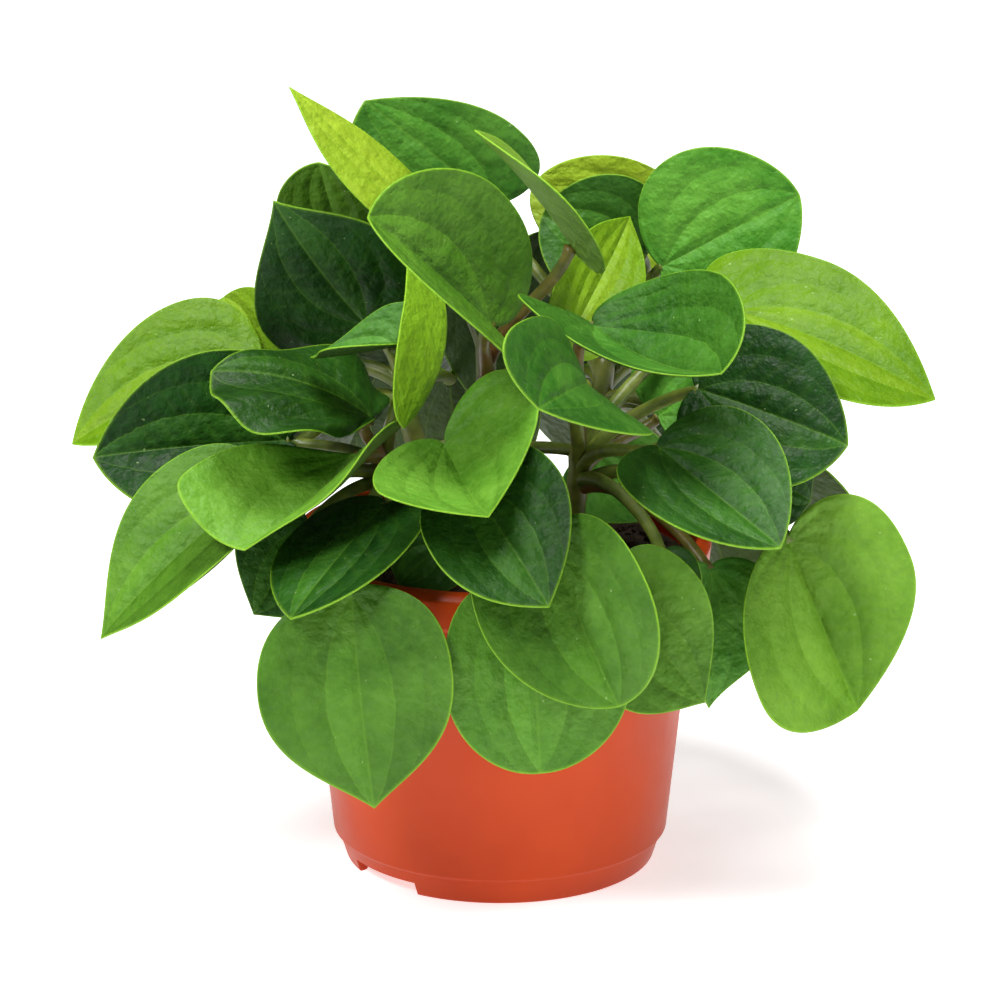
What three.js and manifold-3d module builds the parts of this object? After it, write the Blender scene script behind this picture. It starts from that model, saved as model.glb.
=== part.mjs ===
// A peperomia in a round plastic nursery pot. Millimetres, +Z up, the front of the plant
// towards -Y. The origin is on the ground, in the middle of the pot.
import * as THREE from 'three';
import { mergeVertices } from 'three/addons/utils/BufferGeometryUtils.js';
import Module from 'manifold-3d';

const wasm = await Module();
wasm.setup();

// Pot, a thin moulded shell on a foot ring
const POT_SIDES = 48;
const POT_OUTSIDE = [
  [44.2, 0], [46.6, 7.6], [47.9, 8.2], [55.9, 84], [59, 85], [60, 93.5], [58.5, 95.4], [56.5, 95.8],
];
const POT_LIP = [55.6, 95];
const POT_WALL = 1.6;
const POT_FLOOR_RADIUS = 45.4;
const FOOT_HEIGHT = 4;
const FOOT_INNER_RADIUS = 41.5;
const FOOT_NOTCH = { angles: [-138, 42], width: 25, height: 4, length: 16 };
const DRAIN_HOLE = { count: 6, circle: 30, radius: 4 };

// Soil, filled to a little under the rim
const SOIL_TOP = 88;
const SOIL_DOME = 2;
const SOIL_SIDES = 32;
const FIT_GAP = 0.5;
const SOIL_BOTTOM = FOOT_HEIGHT + POT_WALL + FIT_GAP;
const SOIL_OUTSIDE = [
  [44.5, SOIL_BOTTOM], [45.5, 8.4], [53.5, 83], [53.7, 86], [42, 87.4], [22, 89.2],
];

// Stems stand in holes in the soil and carry the leaf stalks
const STEM_RADIUS = 3.2;
const STEM_DEPTH = 22;
const STEM_FOOT_RADIUS = 3.07;
const STEM_SIDES = 8;
const STEM_STEPS = 5;
const STEM_TIP = { radius: 3.1, sides: 7, rows: 5, turn: 1 };
const KNEE_OVERLAP = 1;
const HOLE_SIDES = 12;
const STALK_RADIUS = 1.8;
const STALK_SIDES = 6;
const STALK_STEPS = 5;
const STALK_GAP = 0.5;
const STALK_CUT = 12;
// How far the ends of a stem or stalk run straight on, as parts of its rise or reach
const STRAIGHT = { start: 0.35, end: 0.3 };
const STEMS = {
  left: { foot: [-24, -12], top: [-32, -14, 122] },
  front: { foot: [2, -27], top: [2, -32, 116] },
  right: { foot: [20, -12], top: [22, -14, 122] },
  centre: { foot: [-2, 0], top: [-4, 2, 150] },
  back_left: { foot: [-20, 18], top: [-28, 24, 138] },
  back_right: { foot: [20, 20], top: [30, 26, 138] },
};

// Leaf blades. Lengths of the outline are parts of the blade's length and width.
const BLADE_THICKNESS = 0.9;
const OUTLINE_STEPS = 10;
const BLADE_RINGS = [0.55, 1];
const LEAST_ARC = 0.5;
const LEAF = {
  fold: 10, cup: 15, bend: 15, skew: 0, lobe: 0.12, notch: 0.03, belly: 0.36, point: 0.5,
  wave: 0, waves: 5, phase: 0, from: 0.8, hang: 40,
};
const LEAVES = [
  { name: 'front_05', stem: 'left', at: [-40, -71, 100], tip: [-34, -80, 42], faces: [-1.8, -9, 2.2],
    width: 56, fold: 2, cup: 22, bend: 14, skew: -0.05, lobe: 0.02, notch: 0.063, belly: 0.4, from: 0.68,
    hang: 80 },
  { name: 'front_04', stem: 'front', at: [8, -70, 101], tip: [11, -77, 51], faces: [1, -9, 2.2],
    width: 52, fold: 8, cup: 10, bend: 16, lobe: 0.1, belly: 0.44, point: 0, from: 0.76 },
  { name: 'front_03', stem: 'front', at: [13, -73, 116], tip: [32, -88, 74], faces: [-2.5, -9, 2.5],
    width: 52, fold: 19, cup: 13, bend: 23, skew: 0.13, belly: 0.39, point: 0.1, from: 0.83 },
  { name: 'front_02', stem: 'front', at: [-8, -66, 129], tip: [13, -97, 105], faces: [0.7, -9, 6.6],
    width: 44, fold: 7, cup: 20, bend: 16, skew: -0.18, lobe: 0.11, belly: 0.37, point: 0.4, from: 0.91 },
  { name: 'front_01', stem: 'front', at: [-15, -55, 137], tip: [-3, -97, 130], faces: [-1.5, -2, 9],
    width: 58, fold: 19, bend: -35, skew: -0.7, lobe: 0.21, notch: 0.015, belly: 0.44, point: 0.6,
    from: 0.98 },
  { name: 'left_09', stem: 'left', at: [-32, -43, 116], tip: [-56, -83, 97], faces: [-7.3, -9, 8.7],
    width: 41, fold: 0, cup: 7, bend: 6, skew: 0.01, lobe: 0.13, notch: 0.033, belly: 0.38, point: 0.3,
    from: 0.81, hang: 50 },
  { name: 'left_07', stem: 'left', at: [-40, -35, 128], tip: [-69, -66, 111], faces: [-3.2, -3.2, 9],
    width: 59, fold: 21, cup: 33, bend: -14, skew: -0.68, lobe: 0.03, notch: 0.032, belly: 0.49,
    point: 0.2, wave: 1, from: 0.89, hang: 40 },
  { name: 'left_08', stem: 'left', at: [-66, -33, 118], tip: [-110, -46, 79], faces: [-5.5, -6.8, 9],
    width: 47, fold: 13, cup: 22, bend: 22, skew: 0.05, lobe: 0.09, notch: 0.029, belly: 0.33, point: 0.6,
    from: 0.77 },
  { name: 'left_10', stem: 'left', at: [-53, -33, 107], tip: [-68, -43, 85], faces: [0, -9, 2.1],
    width: 35, fold: 8, cup: 14, skew: 0.16, notch: 0.029, from: 0.72, hang: 40 },
  { name: 'left_03', stem: 'left', at: [-36, -24, 136], tip: [-79, -37, 153], faces: [1.1, -3.4, 9],
    width: 52, fold: 0, cup: 0, bend: 45, skew: 0.7, lobe: 0.02, notch: 0.033, belly: 0.31, point: 0.3,
    wave: 2, waves: 6, from: 0.9, hang: 90 },
  { name: 'left_04', stem: 'left', at: [-61, -2, 123], tip: [-114, -12, 121], faces: [0.2, -9, 5.4],
    width: 54, fold: 19, cup: 16, bend: 25, skew: 0.08, lobe: 0.13, notch: 0.031, belly: 0.37, point: 0.3,
    from: 0.85, hang: 40 },
  { name: 'left_05', stem: 'back_left', at: [-70, 29, 138], tip: [-122, 15, 117], faces: [-3.3, -6.3, 9],
    width: 50, fold: 14, cup: 14, bend: 26, skew: 0.06, lobe: 0.06, notch: 0.031, belly: 0.28, point: 0.4,
    from: 0.85, hang: 30, lime: true },
  { name: 'left_06', stem: 'back_left', at: [-71, 37, 134], tip: [-80, 47, 152], faces: [-1.8, -9, 4.5],
    width: 31, fold: 17, cup: 18, bend: 18, skew: -0.22, belly: 0.37, point: 0, from: 0.88, hang: 70,
    lime: true },
  { name: 'top_03', stem: 'back_left', at: [-38, 14, 153], tip: [-63, 0, 192], faces: [-4.4, -9, 2.8],
    width: 52, fold: 3, cup: 3, bend: 23, skew: -0.18, notch: 0.029, belly: 0.32, point: 0.7, from: 0.91 },
  { name: 'top_02', stem: 'back_left', at: [-45, 31, 173], tip: [-51, 21, 198], faces: [-1.7, -9, 2.1],
    width: 31, fold: 6, cup: 10, skew: 0.26, notch: 0.031, point: 0.1, from: 0.95 },
  { name: 'top_01', stem: 'centre', at: [-19, -1, 185], tip: [-58, -4, 225], faces: [5.5, -6, 9],
    width: 24, fold: -6, cup: 0, bend: -2, skew: 0.08, belly: 0.33, point: 0.6, from: 0.93, hang: 40,
    lime: true },
  { name: 'top_04', stem: 'centre', at: [-2, 24, 186], tip: [-38, 20, 216], faces: [0.2, -9, 2.4],
    width: 41, fold: 1, cup: 12, bend: 14, skew: 0.39, lobe: 0.07, notch: 0.029, belly: 0.4, point: 0.3,
    from: 0.83, hang: 50 },
  { name: 'top_05', stem: 'centre', at: [-3, -42, 168], tip: [-35, -69, 204], faces: [3.1, -7.4, 9],
    width: 60, fold: 22, cup: 21, bend: 7, skew: -0.13, lobe: 0.23, notch: 0.031, belly: 0.33, point: 0,
    from: 0.78, hang: 40 },
  { name: 'top_06', stem: 'centre', at: [20, -12, 182], tip: [-7, -22, 217], faces: [8, 2, 6], width: 46,
    fold: 7, cup: 8, lobe: 0.2, from: 0.88, hang: 50 },
  { name: 'top_07', stem: 'back_right', at: [46, 50, 169], tip: [9, 47, 184], faces: [1, -9, 3],
    width: 37, point: 0, from: 0.98, hang: 70, lime: true },
  { name: 'top_08', stem: 'back_right', at: [40, 36, 167], tip: [12, 36, 179], faces: [1, -9, 3],
    width: 40, point: 0, from: 0.91, hang: 34 },
  { name: 'top_09', stem: 'back_right', at: [47, 26, 167], tip: [85, 28, 187], faces: [-1.3, -9, 2],
    width: 53, fold: 3, cup: 9, bend: 11, skew: 0.13, lobe: 0.1, notch: 0.029, belly: 0.32, point: 0.1,
    from: 0.95, hang: 50 },
  { name: 'top_10', stem: 'centre', at: [19, -6, 154], tip: [37, 35, 179], faces: [4, -8, 4], width: 27,
    fold: 14, cup: 10, from: 0.73, hang: 40, lime: true },
  { name: 'top_11', stem: 'right', at: [66, 4, 159], tip: [121, -16, 139], faces: [2.6, -5.9, 9],
    width: 51, fold: 7, cup: 12, bend: 24, skew: -0.18, lobe: 0.24, notch: 0.034, belly: 0.35, point: 0.4,
    from: 0.95, hang: 30, lime: true },
  { name: 'top_12', stem: 'right', at: [26, -31, 164], tip: [59, -68, 161], faces: [1.3, -6.2, 9],
    width: 59, fold: 21, cup: 38, bend: -45, skew: 0.64, lobe: 0.2, notch: 0.023, belly: 0.28, point: 0,
    from: 0.98 },
  { name: 'top_13', stem: 'right', at: [23, -65, 157], tip: [10, -106, 162], faces: [9, -4.1, 8.5],
    width: 45, fold: 12, cup: 13, bend: 34, skew: -0.66, lobe: 0.13, notch: 0.034, belly: 0.55, point: 0,
    from: 0.91, hang: 30 },
  { name: 'left_01', stem: 'centre', at: [-16, -16, 169], tip: [-26, -55, 142], faces: [-9, 1.9, 0.5],
    width: 35, fold: 34, cup: 3, bend: -45, skew: 0.23, lobe: 0.36, notch: 0.028, belly: 0.29, point: 0,
    from: 0.98, hang: 50, lime: true },
  { name: 'left_02', stem: 'left', at: [-29, -32, 159], tip: [-52, -30, 155], faces: [1.9, -2.9, 9],
    width: 24, fold: 32, cup: 19, bend: -8, skew: 0.7, lobe: 0.21, belly: 0.29, point: 0.9, from: 0.98,
    hang: 70 },
  { name: 'front_06', stem: 'front', at: [30, -58, 97], tip: [56, -62, 66], faces: [1, -9, 3], width: 42,
    skew: -0.2, from: 0.68 },
  { name: 'front_07', stem: 'right', at: [58, -35, 95], tip: [58, -41, 57], faces: [5, -8, 2], width: 40,
    point: 0.8, from: 0.68 },
  { name: 'front_08', stem: 'right', at: [44, -48, 104], tip: [46, -54, 84], faces: [0, -9, 2], width: 22,
    from: 0.75 },
  { name: 'right_01', stem: 'right', at: [80, -38, 104], tip: [99, -46, 58], faces: [2.2, -9, 2.5],
    width: 60, fold: 24, cup: 0, bend: -7, skew: -0.39, lobe: 0.14, notch: 0.039, belly: 0.49, point: 0.2,
    from: 0.71, hang: 20 },
  { name: 'right_02', stem: 'right', at: [43, -50, 135], tip: [75, -80, 116], faces: [3.7, -9, 8.6],
    width: 49, cup: 17, bend: -2, skew: -0.03, lobe: 0.08, notch: 0.02, belly: 0.34, point: 0.3,
    from: 0.85, hang: 50 },
  { name: 'right_03', stem: 'right', at: [55, -31, 146], tip: [95, -44, 134], faces: [1, -9, 5.4],
    width: 46, fold: 3, cup: 6, bend: 19, skew: -0.13, lobe: 0.13, notch: 0.029, belly: 0.39, point: 0.2,
    from: 0.88 },
  { name: 'right_04', stem: 'back_right', at: [76, -2, 112], tip: [88, 2, 104], faces: [2, -8, 5],
    width: 26, from: 0.75 },
  { name: 'right_05', stem: 'right', at: [45, 0, 130], tip: [60, 5, 140], faces: [-1, -8, 5], width: 34,
    from: 0.81 },
  { name: 'inner_01', stem: 'centre', at: [-17, -38, 103], tip: [-28, -44, 94], faces: [-2, -8, 5],
    width: 28, from: 0.68 },
  { name: 'inner_02', stem: 'centre', at: [28, 14, 114], tip: [42, 5, 97], faces: [1, -8, 4], width: 34,
    from: 0.4, hang: 60 },
  { name: 'back_01', stem: 'back_left', at: [-25, 57, 173], tip: [-49, 87, 159], faces: [-3, 5, 9],
    width: 52, from: 0.98, hang: 40 },
  { name: 'back_02', stem: 'back_right', at: [29, 66, 157], tip: [37, 94, 104], faces: [2, 9, 4],
    width: 50, from: 0.88, hang: 50 },
  { name: 'back_03', stem: 'back_right', at: [5, 45, 167], tip: [0, 66, 106], faces: [0, 9, 4], width: 48,
    from: 0.85, hang: 50 },
  { name: 'back_04', stem: 'back_left', at: [-39, 54, 144], tip: [-80, 80, 116], faces: [-5, 6, 8],
    width: 54, from: 0.81 },
  { name: 'back_05', stem: 'back_right', at: [57, 52, 139], tip: [93, 69, 113], faces: [5, 6, 8],
    width: 53, from: 0.81 },
  { name: 'back_06', stem: 'back_left', at: [-21, 73, 131], tip: [-42, 104, 85], faces: [-3, 8, 5],
    width: 54, from: 0.78, hang: 50 },
  { name: 'back_07', stem: 'back_right', at: [23, 72, 122], tip: [35, 102, 77], faces: [2, 8, 5],
    width: 54, from: 0.78, hang: 40 },
  { name: 'back_08', stem: 'back_left', at: [-68, 24, 110], tip: [-98, 30, 64], faces: [-4, 7, 5],
    width: 50, from: 0.75 },
  { name: 'back_09', stem: 'back_right', at: [72, 34, 110], tip: [98, 50, 68], faces: [7, 4, 5],
    width: 52, from: 0.71 },
  { name: 'back_10', stem: 'back_left', at: [-15, 68, 122], tip: [-11, 88, 68], faces: [0, 9, 3],
    width: 54, from: 0.68 },
  { name: 'back_11', stem: 'back_left', at: [-52, 60, 113], tip: [-68, 81, 65], faces: [-5, 7, 3],
    width: 48, from: 0.71 },
  { name: 'back_12', stem: 'back_right', at: [54, 65, 99], tip: [70, 82, 51], faces: [5, 7, 3], width: 48,
    from: 0.68 },
];

const MATERIALS = {
  pot: { color: 0xc8532f, roughness: 0.42 },
  soil: { color: 0x2b1b12, roughness: 0.95 },
  stem: { color: 0x6f7a35, roughness: 0.45 },
  dark: { color: 0x3f7a2c, roughness: 0.35 },
  lime: { color: 0x9fc32a, roughness: 0.38 },
};

const radians = THREE.MathUtils.degToRad;
const vector = (p) => new THREE.Vector3(...p);

const MERGE_DISTANCE = 1e-4;

// A closed geometry as a solid that can be cut and joined
function solid(geometry) {
  const bare = geometry.index ? geometry.clone() : geometry;
  bare.deleteAttribute('normal');
  bare.deleteAttribute('uv');
  const merged = mergeVertices(bare, MERGE_DISTANCE);
  return new wasm.Manifold(new wasm.Mesh({
    numProp: 3,
    vertProperties: new Float32Array(merged.attributes.position.array),
    triVerts: new Uint32Array(merged.index.array),
  }));
}

function geometryOf(body) {
  const { vertProperties, triVerts } = body.getMesh();
  const geometry = new THREE.BufferGeometry();
  geometry.setAttribute('position', new THREE.BufferAttribute(vertProperties, 3));
  geometry.setIndex(new THREE.BufferAttribute(triVerts, 1));
  return geometry;
}

// LatheGeometry turns about Y, so it is stood up about Z
function turned(profile, sides) {
  const points = profile.map(([r, z]) => new THREE.Vector2(r, z));
  return new THREE.LatheGeometry(points, sides).rotateX(Math.PI / 2);
}

function tube(path, radius, sides, steps) {
  const circle = new THREE.Shape();
  for (let i = 0; i < sides; i++) {
    const a = (2 * Math.PI * i) / sides;
    const [x, y] = [radius * Math.cos(a), radius * Math.sin(a)];
    if (i === 0) circle.moveTo(x, y);
    else circle.lineTo(x, y);
  }
  circle.closePath();
  return solid(new THREE.ExtrudeGeometry(circle, { extrudePath: path, steps, bevelEnabled: false }));
}

function post([x, y], bottom, height, radius, sides) {
  const cylinder = new THREE.CylinderGeometry(radius, radius, height, sides);
  return solid(cylinder.rotateX(Math.PI / 2).translate(x, y, bottom + height / 2));
}

function onCircle(radius, degrees) {
  return [radius * Math.cos(radians(degrees)), radius * Math.sin(radians(degrees))];
}

function pot() {
  const inside = POT_OUTSIDE.slice(2, 5).reverse().map(([r, z]) => [r - POT_WALL, z]);
  const floorTop = FOOT_HEIGHT + POT_WALL;
  const profile = [
    [0, FOOT_HEIGHT], [FOOT_INNER_RADIUS, FOOT_HEIGHT], [FOOT_INNER_RADIUS, 0],
    ...POT_OUTSIDE, POT_LIP, ...inside, [POT_FLOOR_RADIUS, floorTop], [0, floorTop],
  ];
  let body = solid(turned(profile, POT_SIDES));
  const { angles, width, height, length } = FOOT_NOTCH;
  for (const angle of angles) {
    const block = new THREE.BoxGeometry(length, width, 2 * height);
    block.translate(FOOT_INNER_RADIUS, 0, 0).rotateZ(radians(angle));
    body = body.subtract(solid(block));
  }
  for (let i = 0; i < DRAIN_HOLE.count; i++) {
    const centre = onCircle(DRAIN_HOLE.circle, (360 * i) / DRAIN_HOLE.count);
    body = body.subtract(post(centre, 0, 2 * floorTop, DRAIN_HOLE.radius, HOLE_SIDES));
  }
  return geometryOf(body);
}

function soil() {
  const profile = [[0, SOIL_BOTTOM], ...SOIL_OUTSIDE, [0, SOIL_TOP + SOIL_DOME]];
  let body = solid(turned(profile, SOIL_SIDES));
  for (const { foot } of Object.values(STEMS)) {
    const hole = post(foot, SOIL_TOP - STEM_DEPTH, 2 * STEM_DEPTH, STEM_RADIUS + FIT_GAP, HOLE_SIDES);
    body = body.subtract(hole);
  }
  return geometryOf(body);
}

// Directions of a blade at the stalk: along to the tip, across, and out of its upper face
function bladeAxes(leaf) {
  const along = vector(leaf.tip).sub(vector(leaf.at));
  const chord = along.length();
  along.normalize();
  const out = vector(leaf.faces);
  out.addScaledVector(along, -out.dot(along)).normalize();
  const across = new THREE.Vector3().crossVectors(out, along);
  return { along, across, out, chord };
}

// A place on the blade: u runs from the stalk (0) to the tip (1), v across from -0.5 to 0.5,
// ring from 0 at the stalk to 1 on the edge, and angle once round the edge. The midrib is an
// arc, and each half folds up from it and curves up further to its edge.
function bladePoint(leaf, axes, { u, v, ring, angle }) {
  const bend = radians(leaf.bend || LEAST_ARC);
  const fold = radians(leaf.fold);
  const cup = radians(leaf.cup || LEAST_ARC);
  const half = leaf.width / 2;
  const turn = bend * (0.5 - u - leaf.skew * v);
  const radius = axes.chord / (2 * Math.sin(bend / 2));
  const forward = radius * (Math.sin(bend / 2) - Math.sin(turn));
  const upward = radius * (Math.cos(turn) - Math.cos(bend / 2));
  const slope = fold + 2 * cup * Math.abs(v);
  const side = (Math.sign(v) * half * (Math.sin(slope) - Math.sin(fold))) / cup;
  const ripple = leaf.wave * ring ** 2 * Math.sin(leaf.waves * angle + leaf.phase);
  const rise = (half * (Math.cos(fold) - Math.cos(slope))) / cup + ripple;
  return vector(leaf.at)
    .addScaledVector(axes.along, forward - rise * Math.sin(turn))
    .addScaledVector(axes.out, upward + rise * Math.cos(turn))
    .addScaledVector(axes.across, side);
}

// Heart-shaped outline in the flat, once round from the notch at the stalk by way of the tip
function bladeOutline({ lobe, notch, belly, point }) {
  const p = (x, y) => new THREE.Vector2(x, y);
  const base = new THREE.CubicBezierCurve(
    p(-notch, 0), p(-1.25 * lobe, 0.1), p(-1.05 * lobe, 0.5), p(belly, 0.5));
  const end = new THREE.CubicBezierCurve(
    p(belly, 0.5), p(belly + 0.32, 0.5), p(1 - 0.28 * point, 0.23 - 0.12 * point), p(1, 0));
  const baseSteps = Math.round(OUTLINE_STEPS / 2);
  const half = [...base.getPoints(baseSteps), ...end.getPoints(OUTLINE_STEPS - baseSteps).slice(1)];
  const other = half.slice(1, -1).reverse().map(({ x, y }) => p(x, -y));
  return [...half, ...other];
}

// Two like faces half the thickness to each side of the blade's surface, closed along the edge
function blade(leaf) {
  const axes = bladeAxes(leaf);
  const outline = bladeOutline(leaf);
  const count = outline.length;
  const places = [{ u: 0, v: 0, ring: 0, angle: 0 }];
  for (const ring of BLADE_RINGS) {
    outline.forEach(({ x, y }, i) => {
      places.push({ u: ring * x, v: ring * y, ring, angle: (2 * Math.PI * i) / count });
    });
  }
  const surface = new THREE.BufferGeometry();
  surface.setFromPoints(places.map((place) => bladePoint(leaf, axes, place)));
  const faces = [];
  for (let i = 0; i < count; i++) {
    const j = (i + 1) % count;
    faces.push([0, 1 + j, 1 + i]);
    for (let k = 0; k < BLADE_RINGS.length - 1; k++) {
      const [inner, outer] = [1 + k * count, 1 + (k + 1) * count];
      faces.push([inner + i, outer + j, outer + i], [inner + i, inner + j, outer + j]);
    }
  }
  surface.setIndex(faces.flat());
  surface.computeVertexNormals();

  const { position, normal } = surface.attributes;
  const points = [];
  for (const offset of [BLADE_THICKNESS / 2, -BLADE_THICKNESS / 2]) {
    for (let i = 0; i < position.count; i++) {
      const p = new THREE.Vector3().fromBufferAttribute(position, i);
      const n = new THREE.Vector3().fromBufferAttribute(normal, i);
      points.push(p.addScaledVector(n, offset));
    }
  }
  const under = position.count;
  const edge = under - count;
  const index = [...faces, ...faces.map(([a, b, c]) => [a + under, c + under, b + under])];
  for (let i = 0; i < count; i++) {
    const [a, b] = [edge + i, edge + ((i + 1) % count)];
    index.push([a, b, b + under], [a, b + under, a + under]);
  }
  const geometry = new THREE.BufferGeometry().setFromPoints(points);
  geometry.setIndex(index.flat());
  return geometry;
}

// A leaf stalk leaves its stem, comes up under the blade at an angle to it, and is cut off
// level with the blade's under face
function stalk(leaf, stemPath) {
  const { along, across, out } = bladeAxes(leaf);
  const tilt = radians(leaf.bend / 2);
  const normal = out.clone().multiplyScalar(Math.cos(tilt)).addScaledVector(along, -Math.sin(tilt));
  const forward = new THREE.Vector3().crossVectors(across, normal);
  const back = forward.clone().multiplyScalar(-Math.cos(radians(leaf.hang)));
  back.addScaledVector(normal, -Math.sin(radians(leaf.hang)));
  const start = stemPath.getPoint(leaf.from);
  const end = vector(leaf.at);
  const reach = start.distanceTo(end);
  const parting = end.clone().sub(start).normalize().add(stemPath.getTangent(leaf.from)).normalize();
  const rising = parting.multiplyScalar(STRAIGHT.start * reach).add(start);
  const meeting = end.clone().addScaledVector(back, STRAIGHT.end * reach);
  const path = new THREE.CubicBezierCurve3(start, rising, meeting, end);
  const cutter = new THREE.BoxGeometry(STALK_CUT, STALK_CUT, STALK_CUT);
  cutter.translate(0, 0, STALK_CUT / 2 - BLADE_THICKNESS / 2 - STALK_GAP);
  cutter.applyMatrix4(new THREE.Matrix4().makeBasis(forward, across, normal).setPosition(end));
  return tube(path, STALK_RADIUS, STALK_SIDES, STALK_STEPS).subtract(solid(cutter));
}

// A stem rises straight out of its hole, then leans, and its leaf stalks part from it
function stem({ foot: [x, y], top }, leaves) {
  const bottom = SOIL_TOP - STEM_DEPTH + FIT_GAP;
  const knee = new THREE.Vector3(x, y, SOIL_TOP + SOIL_DOME);
  const end = vector(top);
  const rise = end.z - knee.z;
  const lean = new THREE.CubicBezierCurve3(
    knee, knee.clone().setZ(knee.z + STRAIGHT.start * rise),
    end.clone().setZ(end.z - STRAIGHT.end * rise), end);
  let body = tube(lean, STEM_RADIUS, STEM_SIDES, STEM_STEPS);
  const footHeight = knee.z + KNEE_OVERLAP - bottom;
  body = body.add(post([x, y], bottom, footHeight, STEM_FOOT_RADIUS, STEM_SIDES));
  const tip = new THREE.SphereGeometry(STEM_TIP.radius, STEM_TIP.sides, STEM_TIP.rows);
  body = body.add(solid(tip.rotateX(STEM_TIP.turn).translate(...top)));
  for (const leaf of leaves) body = body.add(stalk(leaf, lean));
  return geometryOf(body);
}

const plant = new THREE.Group();

function addPiece(name, geometry, { color, roughness }) {
  geometry.computeVertexNormals();
  const material = new THREE.MeshStandardMaterial({ color, roughness, metalness: 0 });
  const mesh = new THREE.Mesh(geometry, material);
  mesh.name = name;
  plant.add(mesh);
}

const leaves = LEAVES.map((row) => ({ ...LEAF, ...row }));
addPiece('pot', pot(), MATERIALS.pot);
addPiece('soil', soil(), MATERIALS.soil);
for (const [name, shape] of Object.entries(STEMS)) {
  addPiece(`stem_${name}`, stem(shape, leaves.filter((leaf) => leaf.stem === name)), MATERIALS.stem);
}
for (const leaf of leaves) {
  addPiece(`leaf_${leaf.name}`, blade(leaf), leaf.lime ? MATERIALS.lime : MATERIALS.dark);
}

export default plant;
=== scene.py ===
"""Looks of the potted peperomia: fine veined leaves, stems, soil and a smooth moulded pot.
Lengths are in millimetres until a mesh is made, which turns them into metres."""
from math import cos, pi, radians, sin

import bmesh
import bpy
import numpy as np
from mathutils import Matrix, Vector, noise


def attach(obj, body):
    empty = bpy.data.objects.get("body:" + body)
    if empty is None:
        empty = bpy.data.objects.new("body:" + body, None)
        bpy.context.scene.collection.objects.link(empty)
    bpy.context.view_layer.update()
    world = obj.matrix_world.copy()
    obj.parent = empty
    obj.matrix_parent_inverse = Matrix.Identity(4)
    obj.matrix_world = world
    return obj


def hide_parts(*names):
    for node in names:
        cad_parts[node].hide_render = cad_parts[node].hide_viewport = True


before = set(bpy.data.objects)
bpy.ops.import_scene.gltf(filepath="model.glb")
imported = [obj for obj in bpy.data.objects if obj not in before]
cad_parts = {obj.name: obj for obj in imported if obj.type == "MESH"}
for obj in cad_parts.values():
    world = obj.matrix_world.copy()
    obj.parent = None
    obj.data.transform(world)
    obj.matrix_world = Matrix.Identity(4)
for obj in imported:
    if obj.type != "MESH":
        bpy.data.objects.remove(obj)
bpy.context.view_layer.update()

MM = 0.001

# Camera, at the photograph's height and distance
AIM = (0.0, 0.0, 0.105)
ELEVATION = 17
DISTANCE = 1.4
LENS = 178.1

# Area lights: name, place in metres, size, watts. Then the strength of the white surroundings.
LIGHTS = [
    ("key", (-0.9, -1.1, 1.5), 0.5, 27),
    ("top", (0.1, -0.25, 1.9), 0.8, 44),
    ("fill", (1.4, -0.9, 0.9), 0.8, 6),
]
SKY = 0.09
FLOOR_GLOW = 0.62

# Pot
POT_OUTSIDE = [
    (44.2, 0), (46.6, 7.6), (47.9, 8.2), (55.9, 84), (59, 85), (60, 93.5), (58.5, 95.4), (56.5, 95.8),
]
POT_LIP = (55.6, 95)
POT_WALL = 1.6
POT_FLOOR_RADIUS = 45.4
POT_SIDES = 192
POT_FILLET = 0.7
MOST_OF_SIDE = 0.45
POT_SMOOTH_ANGLE = 35
FOOT_HEIGHT = 4
FOOT_INNER_RADIUS = 41.5
FOOT_NOTCH = {"angles": (-138, 42), "width": 25, "height": 4, "length": 16, "middle": 44.5}
NOTCH_BEVEL = {"width": 1.2, "segments": 4}
DRAIN_HOLE = {"count": 6, "circle": 30, "radius": 4, "sides": 48}

# Soil. Its lower rings are pairs of radius and height.
FIT_GAP = 0.5
SOIL_TOP = 88
SOIL_DOME = 2
DOME_POWER = 1.6
SOIL_RADIUS = 53.6
SOIL_RINGS = 60
SOIL_SIDES = 150
SOIL_LOWER_RINGS = [
    (SOIL_RADIUS - 0.3, SOIL_TOP - 5), (45.3, 8.4), (44.4, FOOT_HEIGHT + POT_WALL + FIT_GAP),
]
SOIL_ROUGHNESS = 1.1
SOIL_SINK = 1.0
CLOD_SCALE = 0.16
CRUMBS = 420
CRUMB_SIZE = (0.7, 2.4)
CRUMB_STRETCH = (0.6, 1.3)
CRUMB_SINK = 0.6
CRUMB_SEED = 7

# Stems and leaf stalks
STEM_RADIUS = 3.2
STEM_DEPTH = 22
STALK_RADIUS = 1.8
STRAIGHT_START = 0.35
STRAIGHT_END = 0.3
STEM_SIDES = 20
STEM_STEPS = 24
STEM_CAP = [(1.6, 0.86), (2.6, 0.55), (3.0, 0.15)]
STALK_SIDES = 14
STALK_STEPS = 28
STALK_FLARE = 0.45
FLARE_FROM = 0.93
STEM_TAPER = 0.12
KNOT_HEIGHT = 0.05
KNOT_RATE = 23
STEM_REDNESS = 0.35
STALK_REDNESS = {"plain": 0.25, "red": 0.9}
STEMS = {
    "left": {"foot": (-24, -12), "top": (-32, -14, 122)},
    "front": {"foot": (2, -27), "top": (2, -32, 116)},
    "right": {"foot": (20, -12), "top": (22, -14, 122)},
    "centre": {"foot": (-2, 0), "top": (-4, 2, 150)},
    "back_left": {"foot": (-20, 18), "top": (-28, 24, 138)},
    "back_right": {"foot": (20, 20), "top": (30, 26, 138)},
}

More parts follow.
